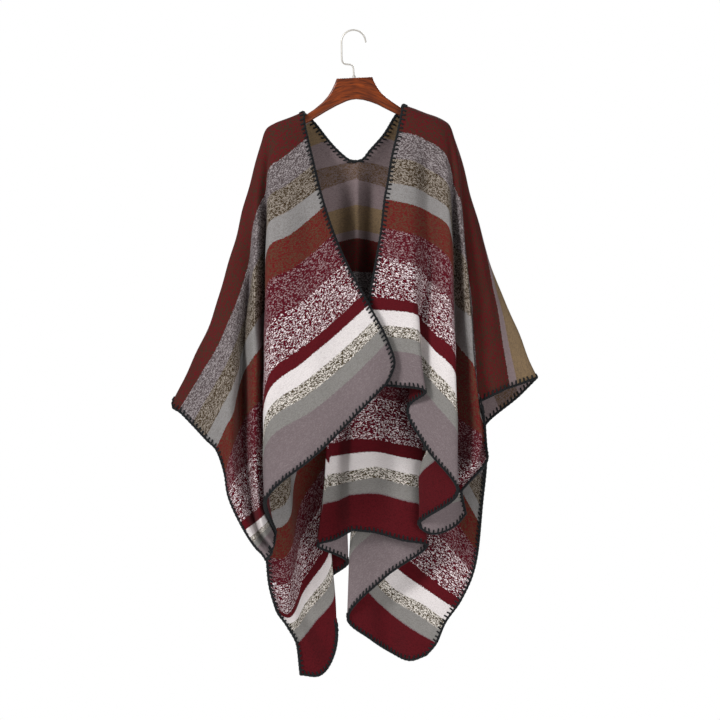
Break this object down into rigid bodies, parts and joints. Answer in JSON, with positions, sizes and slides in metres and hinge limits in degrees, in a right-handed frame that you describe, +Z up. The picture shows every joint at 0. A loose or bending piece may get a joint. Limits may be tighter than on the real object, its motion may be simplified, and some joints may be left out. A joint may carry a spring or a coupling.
{
  "type": "ruana on a wooden clothes hanger",
  "caption": "Open-front woven blanket wrap with wide stripes and stitched edges, draped over a shaped wooden hanger with a wire hook.",
  "frame": {"origin": "the inside top of the hook, where it rests on a rail, on the plane of the hanger", "axes": "+Z up along the hang, +X to the picture's right along the rail's cross direction, +Y to the garment's back; the open front faces -Y"},
  "size_m": [0.76, 0.2169, 1.3674],
  "materials": {
    "cloth_front_left": "napped acrylic weave in wine, lilac grey, beige, grey and white stripes",
    "cloth_front_right": "napped acrylic weave in wine, lilac grey, beige, grey and white stripes",
    "cloth_back": "napped acrylic weave in the same stripes, dark red hem band inside",
    "stained_wood": "reddish brown stain under satin lacquer",
    "hook_wire": "bright plated wire"
  },
  "bodies": {
    "root": {"front_left": "cloth_front_left", "front_right": "cloth_front_right", "back_left": "cloth_back", "back_right": "cloth_back", "hanger_wood": "stained_wood", "hanger_hook": "hook_wire"}
  },
  "joints": []
}
